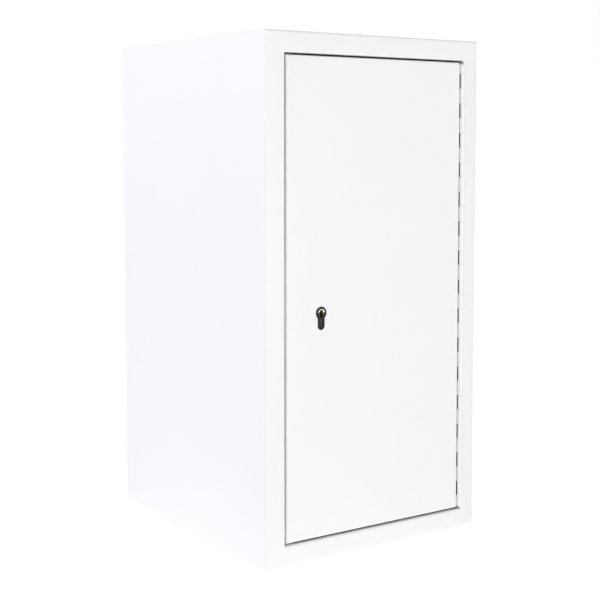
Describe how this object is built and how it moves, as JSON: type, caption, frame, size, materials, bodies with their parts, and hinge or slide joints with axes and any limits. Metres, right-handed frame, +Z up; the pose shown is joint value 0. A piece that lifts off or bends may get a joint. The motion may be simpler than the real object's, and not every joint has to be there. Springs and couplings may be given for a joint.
{
  "type": "parcel locker",
  "caption": "Tall white sheet-steel parcel locker with a flush front door on a full-height piano hinge and a profile-cylinder deadlock.",
  "frame": {"origin": "middle of the outside box at its base, on the surface the locker stands on", "axes": "+Z up along the height, +X to the right seen from the front, +Y from the front to the back; the front face looks along -Y"},
  "size_m": [0.41, 0.471, 0.8],
  "materials": {
    "powder_coat": "satin white powder coat with a very fine orange-peel grain",
    "zinc_plate": "bright zinc plate, slightly blue and clouded",
    "bright_steel": "oiled bright steel",
    "black_nickel": "dark nickel plate with fine lines along the height",
    "nickel_plate": "nickel plate worn warm over brass, turned rings on the face",
    "pin_brass": "turned brass",
    "buffer_rubber": "matt"
  },
  "bodies": {
    "cabinet": {"left_side_panel": "powder_coat", "right_side_panel": "powder_coat", "top_panel": "powder_coat", "bottom_panel": "powder_coat", "back_panel": "powder_coat", "stop_strip_top": "powder_coat", "stop_strip_bottom": "powder_coat", "stop_strip_left_upper": "powder_coat", "stop_strip_left_lower": "powder_coat", "door_buffers": "buffer_rubber", "strike_plate": "zinc_plate", "strike_screws": "zinc_plate", "hinge_frame_leaf": "powder_coat", "hinge_pin": "bright_steel", "hinge_frame_rivets": "powder_coat"},
    "door": {"door_panel": "powder_coat", "door_stiffener": "powder_coat", "hinge_door_leaf": "powder_coat", "hinge_door_rivets": "powder_coat", "lock_bracket": "powder_coat", "lock_case": "zinc_plate", "lock_cover": "zinc_plate", "lock_forend": "bright_steel", "lock_posts": "zinc_plate", "lock_detent_spring": "bright_steel", "lock_fixing_screws": "bright_steel", "lock_cover_screws": "bright_steel", "cylinder_body": "black_nickel", "cylinder_screw": "zinc_plate", "driver_pins": "pin_brass", "pin_springs": "bright_steel"},
    "key_plug": {"cylinder_plug": "nickel_plate", "cylinder_cam": "bright_steel", "cam_clip": "bright_steel", "key_pins": "pin_brass"},
    "bolt": {"deadbolt": "bright_steel"}
  },
  "joints": [
    {"name": "door_hinge", "type": "hinge", "parent": "cabinet", "child": "door", "pos_m": [0.173, -0.2315, 0.4], "axis": [0, 0, 1], "range_deg": [0, 180]},
    {"name": "plug_turn", "type": "hinge", "parent": "door", "child": "key_plug", "pos_m": [-0.1055, -0.2095, 0.3795], "axis": [0, -1, 0], "range_deg": [0, 360]},
    {"name": "bolt_slide", "type": "slide", "parent": "door", "child": "bolt", "axis": [-1, 0, 0], "range_m": [0, 0.02]}
  ],
  "couplings": [
    {"joint": "plug_turn", "follows": "bolt_slide", "rad_per_m": 314.15}
  ]
}
